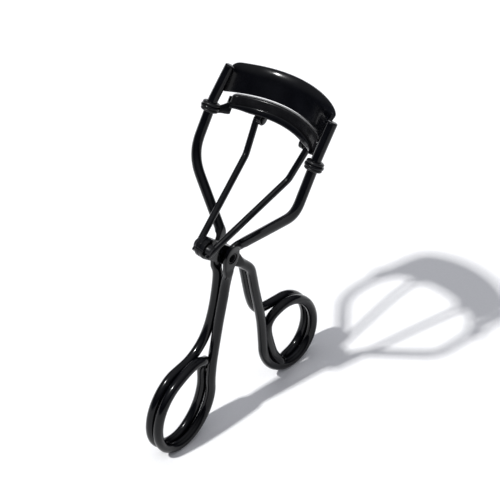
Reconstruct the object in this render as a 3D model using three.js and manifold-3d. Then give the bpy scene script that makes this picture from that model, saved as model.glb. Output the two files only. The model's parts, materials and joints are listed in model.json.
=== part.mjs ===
// Eyelash curler made of bent wire: a frame with a finger loop, a movable handle with a second
// finger loop, a fixed upper jaw plate, and a padded lower jaw that slides on the frame's guides.
// Millimetres. X is the pivot axis and X = 0 the mirror plane, +Y points to the movable handle's
// side and +Z is up. The curler stands on its two finger loops.
import * as THREE from "three";
import { mergeVertices } from "three/addons/utils/BufferGeometryUtils.js";
import Module from "manifold-3d";

const wasm = await Module();
wasm.setup();

// Driving dimensions
const WIRE = 2.4;               // frame and handle wire diameter
const ROD = 1.5;                // link rod diameter
const GAP = 0.3;                // clearance between neighbouring pieces
const PIVOT_HEIGHT = 56.5;      // pivot axis above the ground
const GUIDE_X = 18;             // each guide's distance from the mirror plane
const GUIDE_LEAN = THREE.MathUtils.degToRad(30.5);
const GUIDE_U = -3.6;           // guides in front of the pivot, across the guide direction
const GUIDE_BEND = 21;          // height of the bend along the guides
const GUIDE_TOP = 46;           // top of the guides
const STRAND_X = 1.3;           // half the spacing of two strands lying side by side
const LOOP_LONG = 12.4;         // finger loop half axes, along the middle of the wire
const LOOP_SHORT = 9.8;
const LOOP_STEP = 15;           // degrees between the points that guide a coil
const REST_FLAT = 0.12;         // depth of the small rest flat under each loop

// Jaws, in guide directions: U across the guides, away from the user's face, and W up along them
const JAW_U = 5.2;              // middle of the jaw arc
const ARC_X = 17.4;             // half axes of the elliptic jaw arc
const ARC_U = 11;
const ARCH = 2.5;               // how much higher the jaws stand in the middle
const ARCH_X = 16.5;
const PLATE_END = 16.5;
const PLATE_BOTTOM = 41.4;
const PLATE_TOP = 49.4;
const PLATE_THICK = 0.9;
const CHANNEL_END = 15.2;
const CHANNEL_BOTTOM = 36.6;
const CHANNEL_LIP = 39.2;
const CHANNEL_WIDE = 4;
const SHEET = 0.6;
const PAD_TOP = 41;
const ARC_STEPS = 28;
const COLLAR_W = 33.85;         // middle of the guide bushes
const BUSH_NECK = 2.1;
const BUSH_FLANGE = 2.9;
const BUSH_LONG = 2.7;
const LUG_X = 7.6;              // link lugs under the lower jaw
const LUG = { u: 4.4, w: 34.7 };
const LUG_PLAY = 0.45;

// Pivot and linkage
const EAR_INSIDE = 1.75;        // inner faces of the frame's ears
const EAR_THICK = 1.3;
const EAR_TURN = THREE.MathUtils.degToRad(19.6);
const EAR_LONG = 11;
const EAR_WIDE = 4.8;
const LEVER_THICK = 2.7;
const RIVET_RADIUS = 1.45;
const RIVET_SUNK = 0.15;        // how far its ends lie below the ears' outer faces
const BARREL = { y: -7, z: 6.5, radius: 2, half: 3.9 };
const LINK_X = 2.6;             // link rods where they pass through the barrel
const EYE_RADIUS = 3.3;         // end of the handle's lever, around the barrel
const EYE_START = THREE.MathUtils.degToRad(17);
const EYE_END = THREE.MathUtils.degToRad(257);

// Faceting of round sections
const WIRE_SIDES = 14;
const WIRE_STEP = 1.6;
const RING_SIDES = 28;

// Loop centres seen from the pivot: the frame's loop is in front, the handle's behind
const frameLoop = { side: -1, y: -17.4, tilt: THREE.MathUtils.degToRad(22), start: 35 };
const handleLoop = { side: 1, y: 23.5, tilt: THREE.MathUtils.degToRad(26), start: 20 };

const radius = WIRE / 2;
const point = (x, y, z) => new THREE.Vector3(x, y, z);

function halfExtents(loop) {
  const sin = Math.sin(loop.tilt);
  const cos = Math.cos(loop.tilt);
  return {
    y: Math.hypot(LOOP_LONG * sin, LOOP_SHORT * cos),
    z: Math.hypot(LOOP_LONG * cos, LOOP_SHORT * sin),
  };
}

// The origin is under the middle of the space between the two loops' outer edges.
const frontEdge = frameLoop.y - halfExtents(frameLoop).y - radius;
const backEdge = handleLoop.y + halfExtents(handleLoop).y + radius;
const PIVOT_Y = -(frontEdge + backEdge) / 2;

// Height of a loop's centre that leaves the rest flat on the ground
function loopZ(loop) {
  return halfExtents(loop).z + radius - REST_FLAT - PIVOT_HEIGHT;
}

// A point given in guide directions, seen from the pivot
function guidePoint(x, u, w) {
  const sin = Math.sin(GUIDE_LEAN);
  const cos = Math.cos(GUIDE_LEAN);
  return point(x, u * cos + w * sin, -u * sin + w * cos);
}

// Solids

function toSolid(geometry) {
  const bare = geometry.clone();
  bare.deleteAttribute("normal");
  bare.deleteAttribute("uv");
  const merged = mergeVertices(bare, 1e-4);
  return new wasm.Manifold(new wasm.Mesh({
    numProp: 3,
    vertProperties: new Float32Array(merged.attributes.position.array),
    triVerts: new Uint32Array(merged.index.array),
  }));
}

function toGeometry(solid) {
  const mesh = solid.getMesh();
  const geometry = new THREE.BufferGeometry();
  geometry.setAttribute("position", new THREE.BufferAttribute(mesh.vertProperties, 3));
  geometry.setIndex(new THREE.BufferAttribute(mesh.triVerts, 1));
  geometry.computeVertexNormals();
  return geometry;
}

function join(geometries) {
  return geometries.map(toSolid).reduce((whole, part) => whole.add(part));
}

// Round bar along a curve
function bar(curve, diameter, step, sides) {
  const outline = new THREE.Shape();
  for (let i = 0; i < sides; i += 1) {
    const angle = (2 * Math.PI * (i + 0.5)) / sides;
    const x = (diameter / 2) * Math.cos(angle);
    const y = (diameter / 2) * Math.sin(angle);
    if (i === 0) {
      outline.moveTo(x, y);
    } else {
      outline.lineTo(x, y);
    }
  }
  outline.closePath();
  const steps = Math.max(2, Math.round(curve.getLength() / step));
  return new THREE.ExtrudeGeometry(outline, { steps, extrudePath: curve });
}

// Straight runs between corners, with a bend of the given reach at each inner corner
function bentRoute(corners, reach) {
  const path = new THREE.CurvePath();
  let from = corners[0];
  for (let i = 1; i < corners.length - 1; i += 1) {
    const corner = corners[i];
    const inward = corners[i - 1].clone().sub(corner).setLength(reach).add(corner);
    const outward = corners[i + 1].clone().sub(corner).setLength(reach).add(corner);
    path.add(new THREE.LineCurve3(from, inward));
    path.add(new THREE.QuadraticBezierCurve3(inward, corner, outward));
    from = outward;
  }
  path.add(new THREE.LineCurve3(from, corners.at(-1)));
  return path;
}

// A flat outline drawn in the mirror plane, (y, z), thickened along X from its middle
function sidePlate(outline, thickness, middleX) {
  const plate = new THREE.ExtrudeGeometry(outline, {
    depth: thickness,
    bevelEnabled: false,
    curveSegments: 16,
  });
  plate.translate(0, 0, -thickness / 2);
  plate.rotateX(Math.PI / 2);
  plate.rotateZ(Math.PI / 2);
  plate.translate(middleX, 0, 0);
  return plate;
}

function circlePath(circleRadius, y = 0, z = 0) {
  return new THREE.Path().absarc(y, z, circleRadius, 0, 2 * Math.PI, true);
}

// A cylinder along X
function crossCylinder(cylinderRadius, length, x, y, z) {
  const cylinder = new THREE.CylinderGeometry(cylinderRadius, cylinderRadius, length, RING_SIDES);
  cylinder.rotateZ(Math.PI / 2);
  cylinder.translate(x, y, z);
  return cylinder;
}

// Finger loops

// A point on a loop's oval: 0 degrees is its upper end, 90 its outer side, 180 its lowest end
function loopPoint(loop, degrees, x) {
  const angle = THREE.MathUtils.degToRad(degrees);
  const along = LOOP_LONG * Math.cos(angle);
  const across = LOOP_SHORT * Math.sin(angle);
  const sin = Math.sin(loop.tilt);
  const cos = Math.cos(loop.tilt);
  return point(
    x,
    loop.y + loop.side * (across * cos - along * sin),
    loopZ(loop) + along * cos + across * sin,
  );
}

// Two turns of wire side by side. The wire changes strand where it passes behind its own shaft.
function coil(loop) {
  const points = [];
  for (let degrees = loop.start; degrees <= 665; degrees += LOOP_STEP) {
    const change = THREE.MathUtils.smoothstep(degrees, 320, 352);
    points.push(loopPoint(loop, degrees, STRAND_X * (2 * change - 1)));
  }
  return points;
}

function wireThrough(points) {
  return bar(new THREE.CatmullRomCurve3(points, false, "centripetal"), WIRE, WIRE_STEP, WIRE_SIDES);
}

// Trims a solid flat where it rests on the ground
function levelled(solid) {
  const ground = new THREE.BoxGeometry(200, 200, 20);
  ground.translate(0, 0, -PIVOT_HEIGHT - 10);
  return solid.subtract(toSolid(ground));
}

// Frame: two guides, their inward legs, the pressed ears, two shafts and the coil, one wire

function earOutline() {
  const half = EAR_LONG / 2;
  const bulge = EAR_WIDE - radius;
  const outline = new THREE.Shape();
  outline.moveTo(radius, -half);
  outline.quadraticCurveTo(bulge, 0, radius, half);
  outline.lineTo(-radius, half);
  outline.quadraticCurveTo(-bulge, 0, -radius, -half);
  outline.closePath();
  outline.holes.push(circlePath(RIVET_RADIUS + GAP));
  return outline;
}

function frameWire() {
  const parts = [];
  for (const side of [-1, 1]) {
    const leg = bentRoute([
      guidePoint(side * GUIDE_X, GUIDE_U, GUIDE_TOP),
      guidePoint(side * GUIDE_X, GUIDE_U, GUIDE_BEND),
      point(side * 3.7, 2.7, 4.4),
      point(side * 2.5, 1.3, 3.4),
    ], 2);
    const ear = sidePlate(earOutline(), EAR_THICK, 0);
    ear.rotateX(-EAR_TURN);
    ear.translate(side * (EAR_INSIDE + EAR_THICK / 2), 0, 0);
    parts.push(bar(leg, WIRE, WIRE_STEP, WIRE_SIDES), ear);
  }
  parts.push(wireThrough([
    point(-STRAND_X - 0.9, -1.3, -4.2),
    point(-STRAND_X - 0.5, -1.9, -8),
    point(-STRAND_X, -2.9, -13),
    point(-STRAND_X, -4.6, -19),
    point(-STRAND_X, -6.6, -24.2),
    point(-STRAND_X, -9.4, -27.4),
    point(-STRAND_X, -13.8, -30),
    ...coil(frameLoop),
    point(STRAND_X, -5.8, -29),
    point(STRAND_X, -4.4, -22),
    point(STRAND_X, -2.9, -14),
    point(STRAND_X + 0.4, -2, -8.4),
    point(STRAND_X + 0.9, -1.3, -4.2),
  ]));
  return toGeometry(levelled(join(parts)));
}

// Handle: a flat lever from the link barrel's eye past the pivot, two shafts and the coil

function leverOutline() {
  const outline = new THREE.Shape();
  const eye = EYE_RADIUS;
  outline.moveTo(BARREL.y + eye * Math.cos(EYE_START), BARREL.z + eye * Math.sin(EYE_START));
  outline.absarc(BARREL.y, BARREL.z, eye, EYE_START, EYE_END, false);
  outline.lineTo(-1.2, -2.4);
  outline.quadraticCurveTo(2.2, -5.6, 5.1, -8);
  outline.lineTo(7.3, -6);
  outline.quadraticCurveTo(3.8, 0.2, 1.2, 2.4);
  outline.closePath();
  outline.holes.push(circlePath(RIVET_RADIUS + GAP));
  outline.holes.push(circlePath(BARREL.radius + GAP, BARREL.y, BARREL.z));
  return outline;
}

function handleWire() {
  const nearShaft = [
    point(STRAND_X, 12.8, -32),
    point(STRAND_X, 11.5, -24.7),
    point(STRAND_X, 10.1, -17.5),
    point(STRAND_X, 8.9, -12.3),
    point(STRAND_X, 7.2, -8.8),
    point(STRAND_X, 5.4, -6.3),
  ];
  const farShaft = [
    point(-STRAND_X, 5.4, -6.3),
    point(-STRAND_X, 7.2, -8.8),
    point(-STRAND_X, 8.9, -12.3),
    point(-STRAND_X, 10.1, -17.5),
    point(-STRAND_X, 11.2, -23.4),
    point(-STRAND_X, 12.6, -27.9),
    point(-STRAND_X, 15.4, -30.4),
  ];
  return toGeometry(levelled(join([
    sidePlate(leverOutline(), LEVER_THICK, 0),
    wireThrough([...farShaft, ...coil(handleLoop), ...nearShaft]),
  ])));
}

// Jaws

// Band that follows the jaw arc in plan, U against X, and rises toward the middle
function arcBand(halfWidth, endX, bottom, top) {
  const lastAngle = Math.asin(endX / ARC_X);
  const band = new THREE.BoxGeometry(2 * lastAngle, 2 * halfWidth, top - bottom, ARC_STEPS);
  band.translate(0, 0, (top + bottom) / 2);
  const position = band.attributes.position;
  for (let i = 0; i < position.count; i += 1) {
    const angle = position.getX(i);
    const aside = position.getY(i);
    const normal = new THREE.Vector2(ARC_U * Math.sin(angle), ARC_X * Math.cos(angle)).normalize();
    const x = ARC_X * Math.sin(angle) + normal.x * aside;
    const u = JAW_U - ARC_U * (1 - Math.cos(angle)) + normal.y * aside;
    position.setXYZ(i, x, u, position.getZ(i) - ARCH * (x / ARCH_X) ** 2);
  }
  band.computeVertexNormals();
  return band;
}

// Turns geometry drawn in guide directions, X, U and W, to lean with the guides
function leaned(geometry) {
  geometry.rotateX(-GUIDE_LEAN);
  return geometry;
}

// Ring around a guide, with a rectangular section
function guideRing(inside, outside, low, high) {
  const ring = new THREE.LatheGeometry([
    new THREE.Vector2(inside, low),
    new THREE.Vector2(outside, low),
    new THREE.Vector2(outside, high),
    new THREE.Vector2(inside, high),
    new THREE.Vector2(inside, low),
  ], RING_SIDES);
  ring.rotateX(Math.PI / 2);
  return ring;
}

function upperPlate() {
  return leaned(arcBand(PLATE_THICK / 2, PLATE_END, PLATE_BOTTOM, PLATE_TOP));
}

function lowerJaw() {
  const inside = CHANNEL_WIDE / 2 - SHEET;
  const block = toSolid(arcBand(CHANNEL_WIDE / 2, CHANNEL_END, CHANNEL_BOTTOM, CHANNEL_LIP));
  const trough = toSolid(arcBand(inside, CHANNEL_END + 1, CHANNEL_BOTTOM + SHEET, CHANNEL_LIP + 1));
  let jaw = block.subtract(trough);
  for (const side of [-1, 1]) {
    const ring = guideRing(BUSH_NECK + GAP, BUSH_FLANGE + 0.2, -SHEET / 2 - 0.1, SHEET / 2 + 0.1);
    ring.translate(side * GUIDE_X, GUIDE_U, COLLAR_W);
    const arm = bar(bentRoute([
      point(side * 15.9, -1.6, COLLAR_W),
      point(side * 14.9, -0.4, COLLAR_W),
      point(side * 14.6, -0.1, CHANNEL_BOTTOM - 1.4),
    ], 0.6), 1.4, 0.6, 10);
    jaw = jaw.add(toSolid(ring)).add(toSolid(arm)).add(lug(side));
  }
  return leaned(toGeometry(jaw));
}

// Eye lug under the lower jaw, with play around the link rod's hooked end
function lug(side) {
  const outline = new THREE.Shape();
  const outer = ROD / 2 + LUG_PLAY + 0.8;
  outline.moveTo(LUG.u - outer, LUG.w);
  outline.absarc(LUG.u, LUG.w, outer, Math.PI, 2 * Math.PI, false);
  outline.lineTo(LUG.u + outer, LUG.w + 1.9);
  outline.lineTo(LUG.u - outer, LUG.w + 1.9);
  outline.closePath();
  outline.holes.push(circlePath(ROD / 2 + LUG_PLAY, LUG.u, LUG.w));
  return toSolid(sidePlate(outline, 1.2, side * LUG_X));
}

function lashPad() {
  const halfWidth = CHANNEL_WIDE / 2 - SHEET - GAP;
  return leaned(arcBand(halfWidth, CHANNEL_END, CHANNEL_BOTTOM + SHEET + GAP, PAD_TOP));
}

// Grooved bush: two flanges with the jaw's ring in the groove between them
function guideBush(side) {
  const bore = radius + GAP;
  const half = BUSH_LONG / 2;
  const groove = SHEET / 2 + 0.1 + GAP;
  const bush = new THREE.LatheGeometry([
    new THREE.Vector2(bore, -half),
    new THREE.Vector2(BUSH_FLANGE, -half),
    new THREE.Vector2(BUSH_FLANGE, -groove),
    new THREE.Vector2(BUSH_NECK, -groove),
    new THREE.Vector2(BUSH_NECK, groove),
    new THREE.Vector2(BUSH_FLANGE, groove),
    new THREE.Vector2(BUSH_FLANGE, half),
    new THREE.Vector2(bore, half),
    new THREE.Vector2(bore, -half),
  ], RING_SIDES);
  bush.rotateX(Math.PI / 2);
  bush.translate(side * GUIDE_X, GUIDE_U, COLLAR_W);
  return leaned(bush);
}

// Linkage

function linkRod(side) {
  const hook = guidePoint(side * (LUG_X - 1.2), LUG.u, LUG.w);
  const beside = guidePoint(side * (LUG_X + 1.9), LUG.u, LUG.w);
  const knee = point(side * 7.6, 16, 19.6);
  const through = point(side * LINK_X, BARREL.y, BARREL.z);
  const tip = through.clone().sub(knee).setLength(BARREL.radius + 1).add(through);
  return bar(bentRoute([tip, knee, beside, hook], 1.2), ROD, 1.5, 10);
}

function swivelBarrel() {
  let barrel = toSolid(crossCylinder(BARREL.radius, 2 * BARREL.half, 0, BARREL.y, BARREL.z));
  for (const side of [-1, 1]) {
    const through = point(side * LINK_X, BARREL.y, BARREL.z);
    const along = point(side * 7.6, 16, 19.6).sub(through).setLength(BARREL.radius + 2);
    const drill = new THREE.LineCurve3(through.clone().sub(along), through.clone().add(along));
    barrel = barrel.subtract(toSolid(bar(drill, ROD + 2 * GAP, 4, 12)));
  }
  return toGeometry(barrel);
}

// Rivet through both ears and the lever, its ends just below the ears' outer faces
function pivotRivet() {
  return crossCylinder(RIVET_RADIUS, 2 * (EAR_INSIDE + EAR_THICK - RIVET_SUNK), 0, 0, 0);
}

// Assembly

const lacquer = { color: 0x0b0b0d, roughness: 0.22, metalness: 0.3 };
const darkLacquer = { color: 0x09090a, roughness: 0.35, metalness: 0.4 };
const silicone = { color: 0x101011, roughness: 0.5, metalness: 0 };
const nylon = { color: 0x0d0d0e, roughness: 0.45, metalness: 0 };

const curler = new THREE.Group();
curler.position.set(0, PIVOT_Y, PIVOT_HEIGHT);

function add(name, geometry, finish) {
  const mesh = new THREE.Mesh(geometry, new THREE.MeshStandardMaterial(finish));
  mesh.name = name;
  curler.add(mesh);
}

add("frame_wire", frameWire(), lacquer);
add("handle_wire", handleWire(), lacquer);
add("upper_plate", upperPlate(), lacquer);
add("lower_jaw", lowerJaw(), lacquer);
add("lash_pad", lashPad(), silicone);
add("swivel_barrel", swivelBarrel(), darkLacquer);
add("pivot_rivet", pivotRivet(), darkLacquer);
for (const [side, word] of [[-1, "left"], [1, "right"]]) {
  add(`guide_bush_${word}`, guideBush(side), nylon);
  add(`link_rod_${word}`, linkRod(side), lacquer);
}

const part = new THREE.Group();
part.add(curler);
export default part;
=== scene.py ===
"""Black lacquered eyelash curler: looks, floor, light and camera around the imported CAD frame."""

import json
import math

import bmesh
import bpy
from mathutils import Matrix, Vector


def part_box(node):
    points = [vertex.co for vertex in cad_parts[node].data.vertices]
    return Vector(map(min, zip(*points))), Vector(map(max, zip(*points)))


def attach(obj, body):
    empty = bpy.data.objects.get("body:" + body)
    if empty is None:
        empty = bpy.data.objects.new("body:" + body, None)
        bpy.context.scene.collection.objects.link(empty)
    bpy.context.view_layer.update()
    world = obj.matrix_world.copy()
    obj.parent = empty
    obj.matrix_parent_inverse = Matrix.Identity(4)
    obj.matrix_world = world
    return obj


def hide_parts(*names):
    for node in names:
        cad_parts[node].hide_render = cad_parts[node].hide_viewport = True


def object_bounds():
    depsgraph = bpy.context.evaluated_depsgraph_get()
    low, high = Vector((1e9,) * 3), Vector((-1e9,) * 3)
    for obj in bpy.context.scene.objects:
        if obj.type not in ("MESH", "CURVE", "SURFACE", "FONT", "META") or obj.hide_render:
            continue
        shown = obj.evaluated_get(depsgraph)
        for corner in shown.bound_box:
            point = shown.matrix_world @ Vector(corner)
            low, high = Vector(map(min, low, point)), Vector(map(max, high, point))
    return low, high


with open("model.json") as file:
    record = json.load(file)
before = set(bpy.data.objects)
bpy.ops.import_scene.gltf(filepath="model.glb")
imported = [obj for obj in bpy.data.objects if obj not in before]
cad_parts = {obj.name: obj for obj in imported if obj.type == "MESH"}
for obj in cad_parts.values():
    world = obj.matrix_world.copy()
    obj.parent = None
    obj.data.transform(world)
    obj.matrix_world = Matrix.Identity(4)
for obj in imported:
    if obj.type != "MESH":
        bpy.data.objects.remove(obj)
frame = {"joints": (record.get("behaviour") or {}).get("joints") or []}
cad_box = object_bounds()

# ---------------------------------------------------------------------------------------------
# Places, read from the frame. Lengths below are in millimetres and turned into metres by MM.

MM = 0.001
SIDEWAYS = Vector((1, 0, 0))
joints = {joint["name"]: joint for joint in frame["joints"]}
PIVOT = Vector(joints["handle_hinge"]["pos_m"])
BARREL = Vector(joints["link_swivel"]["pos_m"]) - PIVOT
ALONG_GUIDE = Vector(joints["jaw_slide"]["axis"]).normalized()
ACROSS_GUIDE = ALONG_GUIDE.cross(SIDEWAYS)

bush_low, bush_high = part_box("guide_bush_right")
GUIDE_X = (bush_low.x + bush_high.x) / 2 / MM
bush_middle = (bush_low + bush_high) / 2 - PIVOT
GUIDE_U = bush_middle.dot(ACROSS_GUIDE) / MM
BUSH_W = bush_middle.dot(ALONG_GUIDE) / MM
BUSH_RADIUS = 2.4
GROUND_Z = cad_box[0].z
PIVOT_HEIGHT = (PIVOT.z - GROUND_Z) / MM

# Wire and thin rod, bare and coated. COAT is thicker than real lacquer, because thin dark wires
# look thinner than they are against the bright floor.
WIRE_RADIUS = 1.2
ROD_RADIUS = 0.75
COAT = 0.16
COATED_WIRE = WIRE_RADIUS + COAT
COATED_ROD = ROD_RADIUS + COAT

# Squareness of a section that is a plain circle
ROUND = 2

# Finger loops: ovals of two turns, one STRAND_X to each side, pressed REST_FLAT into the ground.
# Angles are in degrees, as in loop_point, and run on to COIL_END, where the coil meets its shaft
# again. The wire changes sides within "cross". Its inner strand lies "inset" nearer the oval's
# middle within "inside", and within "arch" it bulges by "reach" towards its shaft and by "rise"
# upward.
STRAND_X = 1.4
COIL_END = 666
LOOP_LONG = 12.4
LOOP_SHORT = 9.8
REST_FLAT = 0.12
FRAME_LOOP = {
    "side": -1, "y": -17.4, "tilt": math.radians(22), "start": 35, "cross": (320, 352),
    "inset": 0.8, "inside": (200, 235, 270, 340),
    "reach": 1.5, "rise": 1.6, "arch": (310, 340, 365, 400),
}
HANDLE_LOOP = {
    "side": 1, "y": 23.8, "tilt": math.radians(26), "start": 20, "cross": (200, 245),
    "inset": 3.05, "inside": (205, 262, 286, 345),
    "reach": 0, "rise": 0.75, "arch": (290, 318, 338, 375),
}

# Guides: heights of the bend and the top, how far each top leans, and how round each bend is
GUIDE_BEND_W = 20.1
GUIDE_STRAIGHT_W = BUSH_W + 1.8
GUIDE_TOP_W = 46
GUIDE_TOP_LEAN = {-1: 1.35, 1: 0.45}
GUIDE_BEND_REACH = {-1: 5.5, 1: 3}

# Jaws: the plan arc with its middle at JAW_U, the arch, which has dropped by ARCH at ARCH_X, and
# each part's heights along the guides in the middle
JAW_U = 5.2
ARC_X = 17.4
ARC_U = 11
ARCH = 2.5
ARCH_X = 16.5
PLATE = {
    "end": 16.6, "bottom": 41.4, "top": 49.4, "half": 0.45, "corner": 1.3, "edge": 0.22,
    "flare": 2.6, "flare_out": 0.75,
}
CHANNEL = {
    "end": 15.2, "bottom": 36.6, "near_lip": 38.5, "far_lip": 39.8, "half": 2.0, "sheet": 0.6,
    "bend": 0.5, "shallower": 0.75, "shallower_from": 9,
}
PAD = {
    "end": 15.0, "bottom": 38.0, "top": 41.0, "half": 1.25, "corner": 0.5, "end_round": 1.1,
    "end_drop": 0.7,
}
ARM = {"half": 0.45, "half_high_at_channel": 1.9, "half_high_at_ring": 1.1}
LUG = {"x": 7.4, "u": 4.4, "w": 35.4, "hole": 1.2, "rim": 1.58, "half": 0.6, "root": 0.3}

# Linkage: the barrel, where the rods pass through it, and the rods' knees and hooks
BARREL_RADIUS = 1.6
BARREL_HALF = 2.9
BARREL_EDGE = 0.22
LINK_X = 2.4
LINK_SHIFT = 0.4
ROD_TAIL = 2.2
ROD_KNEE = Vector((7.5, 16, 19.7))
ROD_KNEE_SHIFT = 0.2
HOOK_OUT = 1.6
HOOK_IN = 1.1

# Lever: the handle wire's two ends, pressed flat against each other, and round again past the pivot
LEVER_EYE = 2.75
LEVER_AT_PIVOT = 2.6
LEVER_TAPER = 6
LEVER_STRAND_X = 0.68
LEVER_STRAND_HALF = 0.66
LEVER_SQUARENESS = 8
LEVER_END = 2.65
LEVER_PAST_PIVOT = 3
ROUND_AGAIN_FROM = 2.5
ROUND_AGAIN_BY = 8.5
NARROW_AGAIN_BY = 8

# Ears, pressed flat where the frame's wire passes the pivot, and rivet
EAR_X = {-1: 2.1, 1: 2.4}
EAR_HALF = 0.65
EAR_TURN = math.radians(19.6)
EAR_REACH = 5.6
EAR_FLAT_REACH = 3.2
EAR_SQUARENESS = 7
EAR_ZONE_X = 4.4
EAR_WIDEN = 1.2
RIVET_RADIUS = 1.45
RIVET_HALF = 2.9
RUNNING_GAP = 0.12
PRESSED_GAP = 0.15


def near_pivot(x, y, z):
    """A point given in millimetres from the pivot."""
    return PIVOT + Vector((x, y, z)) * MM


def guide_point(x, u, w):
    """A point given in millimetres: sideways, across the guides and up along them."""
    return PIVOT + (SIDEWAYS * x + ACROSS_GUIDE * u + ALONG_GUIDE * w) * MM


def mix(a, b, share):
    """Between a at share 0 and b at share 1."""
    return a + (b - a) * share


def smooth(value, low, high):
    """0 up to low, 1 from high on, and an S-shaped rise between."""
    share = min(1, max(0, (value - low) / (high - low)))
    return share * share * (3 - 2 * share)


def between(value, start, full, past, end):
    """Rises from 0 at start to 1 at full, and falls again from past to end."""
    return smooth(value, start, full) * (1 - smooth(value, past, end))


# ---------------------------------------------------------------------------------------------
# Mesh helpers


def finish_piece(name, mesh, material, body, nodes):
    """Turns a bmesh into a shown piece that rides on a body and stands for its CAD nodes."""
    bmesh.ops.recalc_face_normals(mesh, faces=mesh.faces)
    data = bpy.data.meshes.new(name)
    mesh.to_mesh(data)
    mesh.free()
    data.materials.append(material)
    piece = bpy.data.objects.new(name, data)
    bpy.context.scene.collection.objects.link(piece)
    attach(piece, body)
    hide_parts(*nodes)
    return piece


def apply_modifiers(piece):
    """Replaces the piece's mesh by its modified one."""
    graph = bpy.context.evaluated_depsgraph_get()
    made = bpy.data.meshes.new_from_object(piece.evaluated_get(graph))
    piece.modifiers.clear()
    piece.data = made


def shade(piece, degrees=40):
    """Smooth shading with crisp edges above the given angle."""
    piece.data.shade_smooth()
    mesh = bmesh.new()
    mesh.from_mesh(piece.data)
    for edge in mesh.edges:
        if len(edge.link_faces) == 2 and edge.calc_face_angle() > math.radians(degrees):
            edge.smooth = False
    mesh.to_mesh(piece.data)
    mesh.free()


def cut(piece, cutter_mesh):
    """Cuts a bmesh out of a piece."""
    data = bpy.data.meshes.new("cutter")
    bmesh.ops.recalc_face_normals(cutter_mesh, faces=cutter_mesh.faces)
    cutter_mesh.to_mesh(data)
    cutter_mesh.free()
    cutter = bpy.data.objects.new("cutter", data)
    bpy.context.scene.collection.objects.link(cutter)
    boolean = piece.modifiers.new("cut", "BOOLEAN")
    boolean.object = cutter
    boolean.solver = "EXACT"
    apply_modifiers(piece)
    bpy.data.objects.remove(cutter)
    bpy.data.meshes.remove(data)


def power(value, exponent):
    """A power that keeps the sign."""
    return math.copysign(abs(value) ** exponent, value)


def ring(mesh, centre, across, deep, half_across, half_deep, squareness, sides):
    """A closed ring of vertices: a circle at squareness ROUND, nearer a rounded box above it."""
    vertices = []
    for i in range(sides):
        angle = 2 * math.pi * (i + 0.5) / sides
        a = half_across * power(math.cos(angle), 2 / squareness)
        d = half_deep * power(math.sin(angle), 2 / squareness)
        vertices.append(mesh.verts.new(centre + (across * a + deep * d) * MM))
    return vertices


def join(mesh, rings):
    """Faces between neighbouring rings."""
    sides = len(rings[0])
    for first, second in zip(rings, rings[1:]):
        for i in range(sides):
            j = (i + 1) % sides
            mesh.faces.new((first[i], first[j], second[j], second[i]))


def bridge(mesh, rings):
    """Faces between neighbouring rings, and an end face on the first and last."""
    join(mesh, rings)
    mesh.faces.new(rings[0])
    mesh.faces.new(list(reversed(rings[-1])))


def resample(points, step):
    """The same line with points at even steps, in millimetres."""
    lengths = [0]
    for a, b in zip(points, points[1:]):
        lengths.append(lengths[-1] + (b - a).length / MM)
    count = max(2, round(lengths[-1] / step))
    found = []
    k = 0
    for i in range(count + 1):
        wanted = lengths[-1] * i / count
        while k < len(points) - 2 and lengths[k + 1] < wanted:
            k += 1
        share = (wanted - lengths[k]) / (lengths[k + 1] - lengths[k])
        found.append(points[k].lerp(points[k + 1], share))
    return found


def relax(points, rounds):
    """Rounds the corners of an evenly stepped line. Its ends stay."""
    for _ in range(rounds):
        inner = [(a + b * 2 + c) / 4 for a, b, c in zip(points, points[1:], points[2:])]
        points = [points[0], *inner, points[-1]]
    return points


def sweep(mesh, route, section, sides, rim=0.25):
    """A bar along a route. section(point, index) gives half across, half deep and squareness.

    Across is sideways where the route allows it, and is carried along the route otherwise.
    Both ends get a rounded rim.
    """
    count = len(route)
    tangents = []
    for i in range(count):
        tangents.append((route[min(i + 1, count - 1)] - route[max(i - 1, 0)]).normalized())
    carried = SIDEWAYS
    rings = []
    last = count - 1
    for i, (centre, tangent) in enumerate(zip(route, tangents)):
        reference = SIDEWAYS if abs(tangent.x) < 0.75 else carried
        across = (reference - tangent * reference.dot(tangent)).normalized()
        carried = across
        deep = tangent.cross(across)
        half_across, half_deep, squareness = section(centre, i)
        for back, shrink in end_rims(i, last, rim):
            rings.append(ring(
                mesh, centre - tangent * back * MM, across, deep,
                half_across - shrink, half_deep - shrink, squareness, sides,
            ))
    bridge(mesh, rings)


def end_rims(index, last, rim):
    """How far back and how much smaller each ring at a station is: a quarter round at the ends."""
    if rim == 0 or index not in (0, last):
        return [(0, 0)]
    steps = [math.radians(angle) for angle in (90, 60, 30, 0)]
    rims = [(rim * (1 - math.sin(a)), rim * (1 - math.cos(a))) for a in steps]
    if index == 0:
        return [(-back, shrink) for back, shrink in rims]
    return [(back, shrink) for back, shrink in reversed(rims)]


def lathe(mesh, profile, centre, axis, sides=40):
    """A turned body. The profile gives radius and height along the axis, in millimetres.

    A profile that ends where it starts makes a hollow body.
    """
    across = axis.orthogonal().normalized()
    other = axis.cross(across)
    closed = profile[0] == profile[-1]
    rings = []
    for radius, height in (profile[:-1] if closed else profile):
        base = centre + axis * height * MM
        turn = []
        for i in range(sides):
            angle = 2 * math.pi * i / sides
            spoke = across * math.cos(angle) + other * math.sin(angle)
            turn.append(mesh.verts.new(base + spoke * radius * MM))
        rings.append(turn)
    if closed:
        join(mesh, [*rings, rings[0]])
    else:
        bridge(mesh, rings)


# ---------------------------------------------------------------------------------------------
# Materials. Noise scales are lumps in a metre.


def new_material(name):
    material = bpy.data.materials.new(name)
    material.use_nodes = True
    return material, material.node_tree.nodes["Principled BSDF"]


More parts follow.
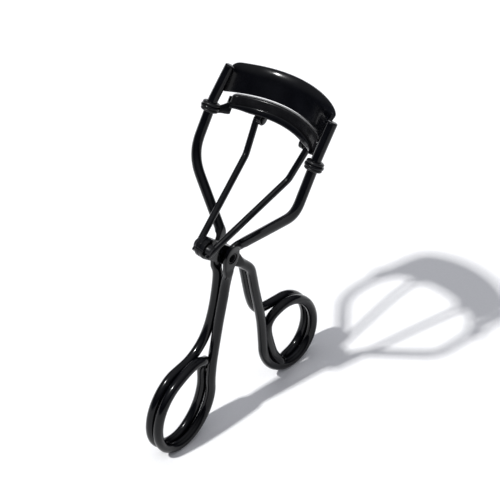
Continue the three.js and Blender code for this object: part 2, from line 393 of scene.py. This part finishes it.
def noise(material, scale, detail=3):
    """Noise fixed to the object, from 0 to 1."""
    nodes, links = material.node_tree.nodes, material.node_tree.links
    place = nodes.new("ShaderNodeTexCoord")
    texture = nodes.new("ShaderNodeTexNoise")
    texture.inputs["Scale"].default_value = scale
    texture.inputs["Detail"].default_value = detail
    links.new(place.outputs["Object"], texture.inputs["Vector"])
    return texture.outputs["Fac"]


def spread(material, value, low, high):
    """The middle half of a noise spread over low to high."""
    nodes, links = material.node_tree.nodes, material.node_tree.links
    node = nodes.new("ShaderNodeMapRange")
    node.inputs["From Min"].default_value = 0.3
    node.inputs["From Max"].default_value = 0.7
    node.inputs["To Min"].default_value = low
    node.inputs["To Max"].default_value = high
    links.new(value, node.inputs["Value"])
    return node.outputs["Result"]


def tint(material, value, dark, light):
    """A colour between dark and light."""
    nodes, links = material.node_tree.nodes, material.node_tree.links
    node = nodes.new("ShaderNodeValToRGB")
    node.color_ramp.elements[0].position = 0.3
    node.color_ramp.elements[0].color = (*dark, 1)
    node.color_ramp.elements[1].position = 0.7
    node.color_ramp.elements[1].color = (*light, 1)
    links.new(value, node.inputs["Fac"])
    return node.outputs["Color"]


def bump(material, value, depth, normal=None):
    """Relief of a depth in metres. A normal lets one relief lie on another."""
    nodes, links = material.node_tree.nodes, material.node_tree.links
    node = nodes.new("ShaderNodeBump")
    node.inputs["Distance"].default_value = depth
    links.new(value, node.inputs["Height"])
    if normal:
        links.new(normal, node.inputs["Normal"])
    return node.outputs["Normal"]


def lacquer_material():
    """Gloss black stove enamel: soft orange peel, faint haze patches and a clear top coat."""
    material, shader = new_material("black_lacquer")
    links = material.node_tree.links
    haze = noise(material, 260)
    peel = bump(material, noise(material, 900, 2), 0.000012)
    relief = bump(material, noise(material, 4200, 2), 0.0000015, peel)
    links.new(tint(material, haze, (0.0008, 0.0009, 0.0014), (0.002, 0.0022, 0.0032)),
              shader.inputs["Base Color"])
    links.new(spread(material, haze, 0.13, 0.21), shader.inputs["Roughness"])
    links.new(relief, shader.inputs["Normal"])
    links.new(peel, shader.inputs["Coat Normal"])
    shader.inputs["Specular IOR Level"].default_value = 0.17
    shader.inputs["Coat Weight"].default_value = 0.12
    shader.inputs["Coat Roughness"].default_value = 0.06
    return material


def silicone_material():
    """Satin black silicone rubber with a fine moulded grain."""
    material, shader = new_material("black_silicone")
    links = material.node_tree.links
    cloud = noise(material, 420)
    grain = bump(material, noise(material, 6500, 2), 0.000004)
    relief = bump(material, cloud, 0.00003, grain)
    links.new(tint(material, cloud, (0.002, 0.002, 0.0024), (0.004, 0.004, 0.0047)),
              shader.inputs["Base Color"])
    links.new(spread(material, cloud, 0.2, 0.3), shader.inputs["Roughness"])
    links.new(relief, shader.inputs["Normal"])
    shader.inputs["Specular IOR Level"].default_value = 0.22
    shader.inputs["Sheen Weight"].default_value = 0.02
    return material


def nylon_material():
    """Moulded black nylon."""
    material, shader = new_material("black_nylon")
    links = material.node_tree.links
    cloud = noise(material, 700)
    links.new(tint(material, cloud, (0.003, 0.003, 0.0035), (0.006, 0.006, 0.007)),
              shader.inputs["Base Color"])
    links.new(spread(material, cloud, 0.28, 0.42), shader.inputs["Roughness"])
    links.new(bump(material, noise(material, 5200, 2), 0.000004), shader.inputs["Normal"])
    shader.inputs["Specular IOR Level"].default_value = 0.3
    return material


def pin_material():
    """Blackened steel with fine turning marks round its axis, which lies sideways."""
    material, shader = new_material("blackened_steel")
    nodes, links = material.node_tree.nodes, material.node_tree.links
    place = nodes.new("ShaderNodeTexCoord")
    turning = nodes.new("ShaderNodeTexWave")
    turning.bands_direction = "X"
    turning.inputs["Scale"].default_value = 1400
    turning.inputs["Distortion"].default_value = 1.5
    links.new(place.outputs["Object"], turning.inputs["Vector"])
    stain = noise(material, 900)
    links.new(tint(material, stain, (0.008, 0.008, 0.009), (0.017, 0.017, 0.019)),
              shader.inputs["Base Color"])
    links.new(spread(material, stain, 0.24, 0.4), shader.inputs["Roughness"])
    links.new(bump(material, turning.outputs["Fac"], 0.000002), shader.inputs["Normal"])
    shader.inputs["Metallic"].default_value = 0.3
    shader.inputs["Specular IOR Level"].default_value = 0.3
    return material


def floor_material():
    """White card with a barely visible tooth."""
    material, shader = new_material("white_card")
    links = material.node_tree.links
    tooth = noise(material, 1500, 4)
    links.new(tint(material, tooth, (0.9, 0.9, 0.9), (0.93, 0.93, 0.93)),
              shader.inputs["Base Color"])
    links.new(bump(material, tooth, 0.000005), shader.inputs["Normal"])
    shader.inputs["Roughness"].default_value = 0.9
    shader.inputs["Specular IOR Level"].default_value = 0.1
    return material


lacquer = lacquer_material()
silicone = silicone_material()
nylon = nylon_material()
pin_metal = pin_material()


# ---------------------------------------------------------------------------------------------
# Wires


def curve_through(points, pieces=8):
    """A smooth line through points at fairly even distances."""
    padded = [points[0] * 2 - points[1], *points, points[-1] * 2 - points[-2]]
    found = []
    for a, b, c, d in zip(padded, padded[1:], padded[2:], padded[3:]):
        for k in range(pieces):
            t = k / pieces
            found.append((
                b * 2 + (c - a) * t + (a * 2 - b * 5 + c * 4 - d) * t ** 2
                + (b * 3 - a - c * 3 + d) * t ** 3
            ) / 2)
    return [*found, points[-1]]


def loop_point(loop, degrees, x):
    """A point on a loop's oval: 0 degrees is its upper end, 90 its outer side, 180 its lowest."""
    sin, cos = math.sin(loop["tilt"]), math.cos(loop["tilt"])
    half_height = math.hypot(LOOP_LONG * cos, LOOP_SHORT * sin)
    middle_z = half_height + WIRE_RADIUS - REST_FLAT - PIVOT_HEIGHT
    along = LOOP_LONG * math.cos(math.radians(degrees))
    across = LOOP_SHORT * math.sin(math.radians(degrees))
    return near_pivot(
        x,
        loop["y"] + loop["side"] * (across * cos - along * sin),
        middle_z + along * cos + across * sin,
    )


def bend(before, corner, after, reach):
    """A rounded corner that starts and ends at a reach from it, in millimetres."""
    start = corner + (before - corner).normalized() * reach * MM
    end = corner + (after - corner).normalized() * reach * MM
    return [start.lerp(corner, t / 8).lerp(corner.lerp(end, t / 8), t / 8) for t in range(9)]


def coil(loop):
    """Two turns of wire side by side. The first passes inside the shaft that ends the second."""
    points = []
    for degrees in range(loop["start"], COIL_END, 15):
        x = STRAND_X * (2 * smooth(degrees, *loop["cross"]) - 1)
        inside = between(degrees, *loop["inside"])
        raised = between(degrees, *loop["arch"])
        outward = loop["side"] * (loop["inset"] * inside - loop["reach"] * raised)
        shift = Vector((0, outward, loop["rise"] * raised))
        points.append(loop_point(loop, degrees, x) + shift * MM)
    return points


def settle(mesh):
    """Presses the lowest wire flat on the ground."""
    for vertex in mesh.verts:
        vertex.co.z = max(vertex.co.z, GROUND_Z)


def frame_wire():
    """Guides, legs, pressed ears, shafts and front loop, one wire from guide to guide."""
    def upper_part(side):
        straight = guide_point(side * GUIDE_X, GUIDE_U, GUIDE_STRAIGHT_W)
        corner = guide_point(side * GUIDE_X, GUIDE_U, GUIDE_BEND_W)
        waist = near_pivot(side * 3.7, 2.7, 3.95)
        return [
            guide_point(side * GUIDE_X + GUIDE_TOP_LEAN[side], GUIDE_U, GUIDE_TOP_W),
            straight,
            *bend(straight, corner, waist, GUIDE_BEND_REACH[side]),
            waist,
            near_pivot(side * EAR_X[side], 1, 2.8),
            near_pivot(side * EAR_X[side], -1.2, -4),
        ]

    left_shaft = [
        near_pivot(-1.5, -1, -6.2),
        near_pivot(-STRAND_X, -1.3, -9),
        near_pivot(-STRAND_X, -2, -13.5),
        near_pivot(-STRAND_X, -3, -18),
        near_pivot(-STRAND_X, -4.7, -22.9),
        near_pivot(-STRAND_X, -7.6, -27.4),
        near_pivot(-STRAND_X, -12.5, -30.7),
    ]
    right_shaft = [
        near_pivot(STRAND_X, -6.7, -34.4),
        near_pivot(STRAND_X, -5.8, -29.6),
        near_pivot(STRAND_X, -4.8, -24.8),
        near_pivot(STRAND_X, -3.8, -20.2),
        near_pivot(STRAND_X, -2.8, -16.2),
        near_pivot(STRAND_X, -1.9, -12.4),
        near_pivot(STRAND_X, -1.2, -9),
        near_pivot(1.8, -0.9, -6.2),
    ]
    lower_part = curve_through([*left_shaft, *coil(FRAME_LOOP), *right_shaft])
    corners = [*upper_part(-1), *lower_part, *reversed(upper_part(1))]
    route = relax(resample(corners, step=0.35), rounds=14)
    ear_axis = Vector((0, math.sin(EAR_TURN), math.cos(EAR_TURN)))

    def section(point, _):
        height = abs((point - PIVOT).dot(ear_axis)) / MM
        if abs(point.x - PIVOT.x) > EAR_ZONE_X * MM or height > EAR_REACH:
            return COATED_WIRE, COATED_WIRE, ROUND
        pressed = 1 - smooth(height, EAR_FLAT_REACH, EAR_REACH)
        half_across = mix(COATED_WIRE, EAR_HALF, pressed)
        widened = EAR_WIDEN * math.cos(math.pi / 2 * height / EAR_REACH) ** 2
        return half_across, COATED_WIRE + widened, mix(ROUND, EAR_SQUARENESS, pressed)

    mesh = bmesh.new()
    sweep(mesh, route, section, sides=28)
    settle(mesh)
    piece = finish_piece("frame_wire_body", mesh, lacquer, "frame", ["frame_wire"])
    cut(piece, pin_cutter(Vector((0, 0, 0)), RIVET_RADIUS + PRESSED_GAP))
    shade(piece)


def pin_cutter(offset, radius):
    """A long round bar along X, to cut a bore with."""
    half = 8
    cutter = bmesh.new()
    lathe(cutter, [(radius, -half), (radius, half)], PIVOT + offset, SIDEWAYS)
    return cutter


def handle_wire():
    """The movable handle: both ends of one looped wire pressed together into a flat lever."""
    to_pivot = (-BARREL).normalized()
    pivot_at = BARREL.length / MM

    def lever(side):
        x = SIDEWAYS * side * LEVER_STRAND_X * MM
        end = PIVOT + BARREL - to_pivot * LEVER_END * MM
        return [end + x, PIVOT + to_pivot * LEVER_PAST_PIVOT * MM + x]

    def shoulder(side):
        return [
            near_pivot(side * 0.8, 4.2, -4.7),
            near_pivot(side * 1.05, 6.4, -7.2),
            near_pivot(side * STRAND_X, 8.3, -9.5),
            near_pivot(side * STRAND_X, 9, -12.2),
            near_pivot(side * STRAND_X, 9.6, -15.4),
            near_pivot(side * STRAND_X, 10.2, -18.7),
        ]

    far_shaft = [
        *shoulder(-1),
        near_pivot(-STRAND_X, 11.1, -23),
        near_pivot(-STRAND_X, 12.6, -27.4),
        near_pivot(-STRAND_X, 15.3, -30.3),
    ]
    near_shaft = [
        near_pivot(STRAND_X, 12.9, -33.2),
        near_pivot(STRAND_X, 12.3, -29),
        near_pivot(STRAND_X, 11.5, -25),
        *reversed(shoulder(1)),
    ]
    lower_part = curve_through([*far_shaft, *coil(HANDLE_LOOP), *near_shaft])
    corners = [*lever(-1), *lower_part, *reversed(lever(1))]
    route = relax(resample(corners, step=0.3), rounds=14)
    step = (route[1] - route[0]).length / MM
    last = len(route) - 1

    def section(_, index):
        from_eye = min(index, last - index) * step - LEVER_END
        past_pivot = from_eye - pivot_at
        round_again = smooth(past_pivot, ROUND_AGAIN_FROM, ROUND_AGAIN_BY)
        if from_eye < 0:
            half_deep = math.sqrt(LEVER_EYE ** 2 - from_eye ** 2)
        elif past_pivot < 0:
            half_deep = mix(LEVER_EYE, LEVER_AT_PIVOT, smooth(from_eye, 0, LEVER_TAPER))
        else:
            half_deep = mix(LEVER_AT_PIVOT, COATED_WIRE, smooth(past_pivot, 0, NARROW_AGAIN_BY))
        half_across = mix(LEVER_STRAND_HALF, COATED_WIRE, round_again)
        return half_across, half_deep, mix(LEVER_SQUARENESS, ROUND, round_again)

    mesh = bmesh.new()
    sweep(mesh, route, section, sides=28, rim=0.15)
    settle(mesh)
    piece = finish_piece("handle_wire_body", mesh, lacquer, "handle", ["handle_wire"])
    cut(piece, pin_cutter(Vector((0, 0, 0)), RIVET_RADIUS + RUNNING_GAP))
    cut(piece, pin_cutter(BARREL, BARREL_RADIUS + RUNNING_GAP))
    shade(piece)


# ---------------------------------------------------------------------------------------------
# Linkage


def link_rod(side, word):
    """From the barrel up and outward to the knee, beside the lug, and hooked in through it."""
    through = PIVOT + BARREL + SIDEWAYS * side * LINK_X * MM
    knee = near_pivot(side * ROD_KNEE.x + ROD_KNEE_SHIFT, ROD_KNEE.y, ROD_KNEE.z)
    tail = through + (through - knee).normalized() * ROD_TAIL * MM
    hook = [
        guide_point(side * (LUG["x"] + x) + LINK_SHIFT, LUG["u"], LUG["w"])
        for x in (HOOK_OUT, -HOOK_IN)
    ]
    route = relax(resample([tail, knee, *hook], step=0.25), rounds=9)

    def section(*_):
        return COATED_ROD, COATED_ROD, ROUND

    mesh = bmesh.new()
    sweep(mesh, route, section, sides=20, rim=0.2)
    nodes = [f"link_rod_{word}"]
    piece = finish_piece(f"link_rod_{word}_body", mesh, lacquer, "links", nodes)
    shade(piece)


def swivel_barrel():
    """The cross barrel with broken edges."""
    profile = [
        (BARREL_RADIUS - BARREL_EDGE, -BARREL_HALF),
        (BARREL_RADIUS, BARREL_EDGE - BARREL_HALF),
        (BARREL_RADIUS, BARREL_HALF - BARREL_EDGE),
        (BARREL_RADIUS - BARREL_EDGE, BARREL_HALF),
    ]
    mesh = bmesh.new()
    lathe(mesh, profile, PIVOT + BARREL, SIDEWAYS)
    piece = finish_piece("barrel_body", mesh, pin_metal, "links", ["swivel_barrel"])
    shade(piece, degrees=60)


def pivot_rivet():
    """A tubular rivet: a deep bore in each rounded end, given as radius and depth."""
    end = [(0.8, 1.6), (1.08, 1.4), (1.12, 0.1), (1.2, 0), (1.34, 0), (RIVET_RADIUS, 0.12)]
    profile = [(radius, depth - RIVET_HALF) for radius, depth in end]
    profile += [(radius, RIVET_HALF - depth) for radius, depth in reversed(end)]
    mesh = bmesh.new()
    lathe(mesh, profile, PIVOT, SIDEWAYS)
    piece = finish_piece("rivet_body", mesh, pin_metal, "frame", ["pivot_rivet"])
    shade(piece, degrees=50)


# ---------------------------------------------------------------------------------------------
# Jaws


def arc_frame(angle):
    """Middle of the jaw arc at an angle, and the outward direction there, in plan."""
    x = ARC_X * math.sin(angle)
    u = JAW_U - ARC_U * (1 - math.cos(angle))
    outward = Vector((ARC_U * math.sin(angle), ARC_X * math.cos(angle))).normalized()
    return x, u, outward


def arch_drop(x):
    """How far the arched jaws have dropped at a distance from the middle."""
    return ARCH * (x / ARCH_X) ** 2


def arc_sweep(mesh, end_x, outline, count):
    """Sweeps an outline of (outward, height) points along the jaw arc. outline(x) may change."""
    last_angle = math.asin(end_x / ARC_X)
    rings = []
    for i in range(count + 1):
        x, u, outward = arc_frame(last_angle * (2 * i / count - 1))
        turn = []
        for out, w in outline(x):
            point = guide_point(x + outward.x * out, u + outward.y * out, w - arch_drop(x))
            turn.append(mesh.verts.new(point))
        rings.append(turn)
    bridge(mesh, rings)


def arc_points(out, w, radius, start, end, steps=6):
    """Points of an arc around (out, w) in an outline, from one angle in degrees to another."""
    angles = [math.radians(mix(start, end, i / steps)) for i in range(steps + 1)]
    return [(out + radius * math.cos(angle), w + radius * math.sin(angle)) for angle in angles]


def rounded_box(half_out, bottom, top, radius, rows):
    """Outline of an upright box with rounded corners, and rows of points up its sides."""
    points = []
    corners = [
        (half_out, bottom, -90), (half_out, top, 0), (-half_out, top, 90), (-half_out, bottom, 180),
    ]
    for out, w, start in corners:
        middle_out = out - math.copysign(radius, out)
        middle_w = w + (radius if w == bottom else -radius)
        points += arc_points(middle_out, middle_w, radius, start, start + 90, steps=4)
        if start in (-90, 90):
            rise = math.copysign(top - bottom - 2 * radius, -start)
            points += [(out, middle_w + rise * i / rows) for i in range(1, rows)]
    return points


def upper_plate():
    """The fixed plate: top corners rounded beside the guides, and the top edge flared back."""
    corner, flare = PLATE["corner"], PLATE["flare"]
    flare_from = PLATE["top"] - flare

    def outline(x):
        to_end = max(0, PLATE["end"] - abs(x))
        sunk = corner - math.sqrt(max(0, corner ** 2 - max(0, corner - to_end) ** 2))
        top = PLATE["top"] - sunk
        box = rounded_box(PLATE["half"], PLATE["bottom"], top, PLATE["edge"], rows=24)
        return [
            (out + PLATE["flare_out"] * (max(0, w - flare_from) / flare) ** 2, w) for out, w in box
        ]

    mesh = bmesh.new()
    arc_sweep(mesh, PLATE["end"], outline, count=110)
    piece = finish_piece("plate_body", mesh, lacquer, "frame", ["upper_plate"])
    shade(piece, degrees=50)


def lower_jaw():
    """The channel that holds the pad, its end arms, guide rings and link lugs."""
    half, sheet = CHANNEL["half"], CHANNEL["sheet"]
    inside = half - sheet
    lip_round, bend = sheet / 2, CHANNEL["bend"]

    def outline(x):
        raised = smooth(abs(x), CHANNEL["shallower_from"], CHANNEL["end"])
        bottom = CHANNEL["bottom"] + CHANNEL["shallower"] * raised
        points = arc_points(half - lip_round, CHANNEL["far_lip"] - lip_round, lip_round, 0, 180)
        points += [(inside, bottom + sheet), (-inside, bottom + sheet)]
        points += arc_points(lip_round - half, CHANNEL["near_lip"] - lip_round, lip_round, 0, 180)
        points += arc_points(bend - half, bottom + bend, bend, 180, 270)
        points += arc_points(half - bend, bottom + bend, bend, 270, 360)
        return points

    mesh = bmesh.new()
    arc_sweep(mesh, CHANNEL["end"], outline, count=96)
    for side in (-1, 1):
        jaw_arm(mesh, side)
        jaw_ring(mesh, side)
        lug(mesh, side)
    piece = finish_piece("lower_jaw_body", mesh, lacquer, "jaw", ["lower_jaw"])
    shade(piece, degrees=50)


def jaw_arm(mesh, side):
    """Upright strip that narrows from the channel's end to the ring around the guide."""
    corners = [
        guide_point(side * 14.4, 0.4, BUSH_W + 1.5),
        guide_point(side * 15.2, -0.5, BUSH_W + 0.9),
        guide_point(side * 16.4, -1.9, BUSH_W),
    ]
    route = relax(resample(corners, step=0.2), rounds=4)
    rings = []
    for i, point in enumerate(route):
        ahead = (route[min(i + 1, len(route) - 1)] - route[max(i - 1, 0)]).normalized()
        flat = (ahead - ALONG_GUIDE * ahead.dot(ALONG_GUIDE)).normalized()
        outward = flat.cross(ALONG_GUIDE)
        along = smooth(i, 0, len(route) - 1)
        half_high = mix(ARM["half_high_at_channel"], ARM["half_high_at_ring"], along)
        rings.append(ring(
            mesh, point, outward, ALONG_GUIDE, ARM["half"], half_high, squareness=6, sides=20,
        ))
    bridge(mesh, rings)


def jaw_ring(mesh, side):
    """Flat ring in the bush's groove."""
    inner, outer, half, edge = 1.95, 2.6, 0.36, 0.12
    profile = [(inner, -half), (outer - edge, -half), (outer, edge - half)]
    profile += [(radius, -height) for radius, height in reversed(profile)]
    profile.append(profile[0])
    lathe(mesh, profile, guide_point(side * GUIDE_X, GUIDE_U, BUSH_W), ALONG_GUIDE)


def lug(mesh, side):
    """Eye under the channel for the link rod: round below, square where it meets the channel."""
    outer = []
    hole = []
    sides = 32
    to_root = CHANNEL["bottom"] - arch_drop(LUG["x"]) + LUG["root"] - LUG["w"]
    for i in range(sides):
        angle = 2 * math.pi * i / sides
        u, w = math.cos(angle), math.sin(angle)
        reach = LUG["rim"]
        if w >= 0:
            reach = min(LUG["rim"] / max(abs(u), 1e-6), to_root / max(w, 1e-6))
        outer.append((LUG["u"] + reach * u, LUG["w"] + reach * w))
        hole.append((LUG["u"] + LUG["hole"] * u, LUG["w"] + LUG["hole"] * w))
    rings = []
    for x, outline in ((-1, hole), (-1, outer), (1, outer), (1, hole)):
        place = side * LUG["x"] + LINK_SHIFT + x * LUG["half"]
        rings.append([mesh.verts.new(guide_point(place, u, w)) for u, w in outline])
    join(mesh, [*rings, rings[0]])


def lash_pad():
    """The soft pad: a rounded top that stands above the channel, and rounded ends."""
    half, bottom, corner = PAD["half"], PAD["bottom"], PAD["corner"]

    def outline(x):
        to_end = max(0, PAD["end"] - abs(x))
        share = math.sqrt(max(0.03, 1 - max(0, 1 - to_end / PAD["end_round"]) ** 2))
        middle_w = PAD["top"] - corner - PAD["end_drop"] * (1 - share)
        points = [(half, bottom)]
        points += arc_points(half - corner, middle_w, corner, 0, 90)
        points += arc_points(corner - half, middle_w, corner, 90, 180)
        points.append((-half, bottom))
        return [(out * share, w) for out, w in points]

    mesh = bmesh.new()
    arc_sweep(mesh, PAD["end"], outline, count=160)
    piece = finish_piece("lash_pad_body", mesh, silicone, "jaw", ["lash_pad"])
    shade(piece, degrees=60)


def guide_bush(side, word):
    """Bush with two rounded ridges and a groove for the jaw's ring."""
    bore, neck, ridge = 1.48, 1.9, 0.38
    half, ridge_at, groove_half, end_round = 1.25, 0.83, 0.4, 0.02
    low_ridge = arc_points(BUSH_RADIUS - ridge, -ridge_at, ridge, -90, 90, steps=8)
    high_ridge = arc_points(BUSH_RADIUS - ridge, ridge_at, ridge, -90, 90, steps=8)
    profile = [
        (bore, -half), (neck, -half - end_round), *low_ridge, (neck, -groove_half),
        (neck, groove_half), *high_ridge, (neck, half + end_round), (bore, half), (bore, -half),
    ]
    mesh = bmesh.new()
    lathe(mesh, profile, guide_point(side * GUIDE_X, GUIDE_U, BUSH_W), ALONG_GUIDE)
    piece = finish_piece(
        f"guide_bush_{word}_body", mesh, nylon, "jaw", [f"guide_bush_{word}"]
    )
    shade(piece, degrees=50)


# ---------------------------------------------------------------------------------------------
# Floor, light and camera

FLOOR_HALF = 2.5
SUN_TRAVEL = Vector((0.154, 0.656, -1.0))
LAMPS = 10
LAMPS_STRENGTH = 2.95
LAMP_WIDTH = math.radians(0.6)
LAMP_RING = math.radians(0.95)
ROOM_DARK_UP_TO = 0.25
ROOM_PALE_FROM = 0.95
ROOM_TOP = (0.69, 0.7, 0.74)
ROOM_SIDES = (0.07, 0.075, 0.1)
CAMERA_FROM_PIVOT = Vector((295.7, -306.2, 370.6))
CAMERA_AZIMUTH = math.radians(43.1)
CAMERA_ELEVATION = math.radians(40.95)
CAMERA_LENS = 155.9
SENSOR_WIDTH = 36.0


def floor():
    """A wide card under the finger loops."""
    mesh = bmesh.new()
    corners = [(-1, -1), (1, -1), (1, 1), (-1, 1)]
    mesh.faces.new([
        mesh.verts.new((x * FLOOR_HALF, y * FLOOR_HALF, GROUND_Z)) for x, y in corners
    ])
    data = bpy.data.meshes.new("floor")
    mesh.to_mesh(data)
    mesh.free()
    data.materials.append(floor_material())
    card = bpy.data.objects.new("floor", data)
    bpy.context.scene.collection.objects.link(card)


def ring_light():
    """The key light, high and from the front: a ring of small lamps, for soft-edged shadows."""
    to_light = -SUN_TRAVEL.normalized()
    across = to_light.orthogonal().normalized()
    other = to_light.cross(across)
    for i in range(LAMPS):
        angle = 2 * math.pi * i / LAMPS
        spoke = across * math.cos(angle) + other * math.sin(angle)
        data = bpy.data.lights.new(f"lamp_{i}", "SUN")
        data.energy = LAMPS_STRENGTH / LAMPS
        data.angle = LAMP_WIDTH
        lamp = bpy.data.objects.new(f"lamp_{i}", data)
        direction = to_light + spoke * math.tan(LAMP_RING)
        lamp.rotation_euler = direction.to_track_quat("Z", "Y").to_euler()
        bpy.context.scene.collection.objects.link(lamp)


def room():
    """Soft light from a pale ceiling, and darker walls."""
    world = bpy.data.worlds.new("room")
    world.use_nodes = True
    nodes, links = world.node_tree.nodes, world.node_tree.links
    place = nodes.new("ShaderNodeTexCoord")
    height = nodes.new("ShaderNodeSeparateXYZ")
    ramp = nodes.new("ShaderNodeValToRGB")
    ramp.color_ramp.elements[0].position = ROOM_DARK_UP_TO
    ramp.color_ramp.elements[0].color = (*ROOM_SIDES, 1)
    ramp.color_ramp.elements[1].position = ROOM_PALE_FROM
    ramp.color_ramp.elements[1].color = (*ROOM_TOP, 1)
    links.new(place.outputs["Generated"], height.inputs["Vector"])
    links.new(height.outputs["Z"], ramp.inputs["Fac"])
    links.new(ramp.outputs["Color"], nodes["Background"].inputs["Color"])
    bpy.context.scene.world = world


def camera():
    """A long lens above and to the right of the frame's finger loop."""
    data = bpy.data.cameras.new("camera")
    data.lens = CAMERA_LENS
    data.sensor_width = SENSOR_WIDTH
    data.clip_start = 0.01
    data.clip_end = 20
    level = math.cos(CAMERA_ELEVATION)
    back = Vector((
        level * math.sin(CAMERA_AZIMUTH),
        -level * math.cos(CAMERA_AZIMUTH),
        math.sin(CAMERA_ELEVATION),
    ))
    taker = bpy.data.objects.new("camera", data)
    taker.location = PIVOT + CAMERA_FROM_PIVOT * MM
    taker.rotation_euler = back.to_track_quat("Z", "Y").to_euler()
    bpy.context.scene.collection.objects.link(taker)
    bpy.context.scene.camera = taker


# ---------------------------------------------------------------------------------------------
# The scene

frame_wire()
handle_wire()
swivel_barrel()
pivot_rivet()
upper_plate()
lower_jaw()
lash_pad()
for side, word in ((-1, "left"), (1, "right")):
    link_rod(side, word)
    guide_bush(side, word)
floor()
ring_light()
room()
camera()
bpy.context.scene.view_settings.view_transform = "Standard"
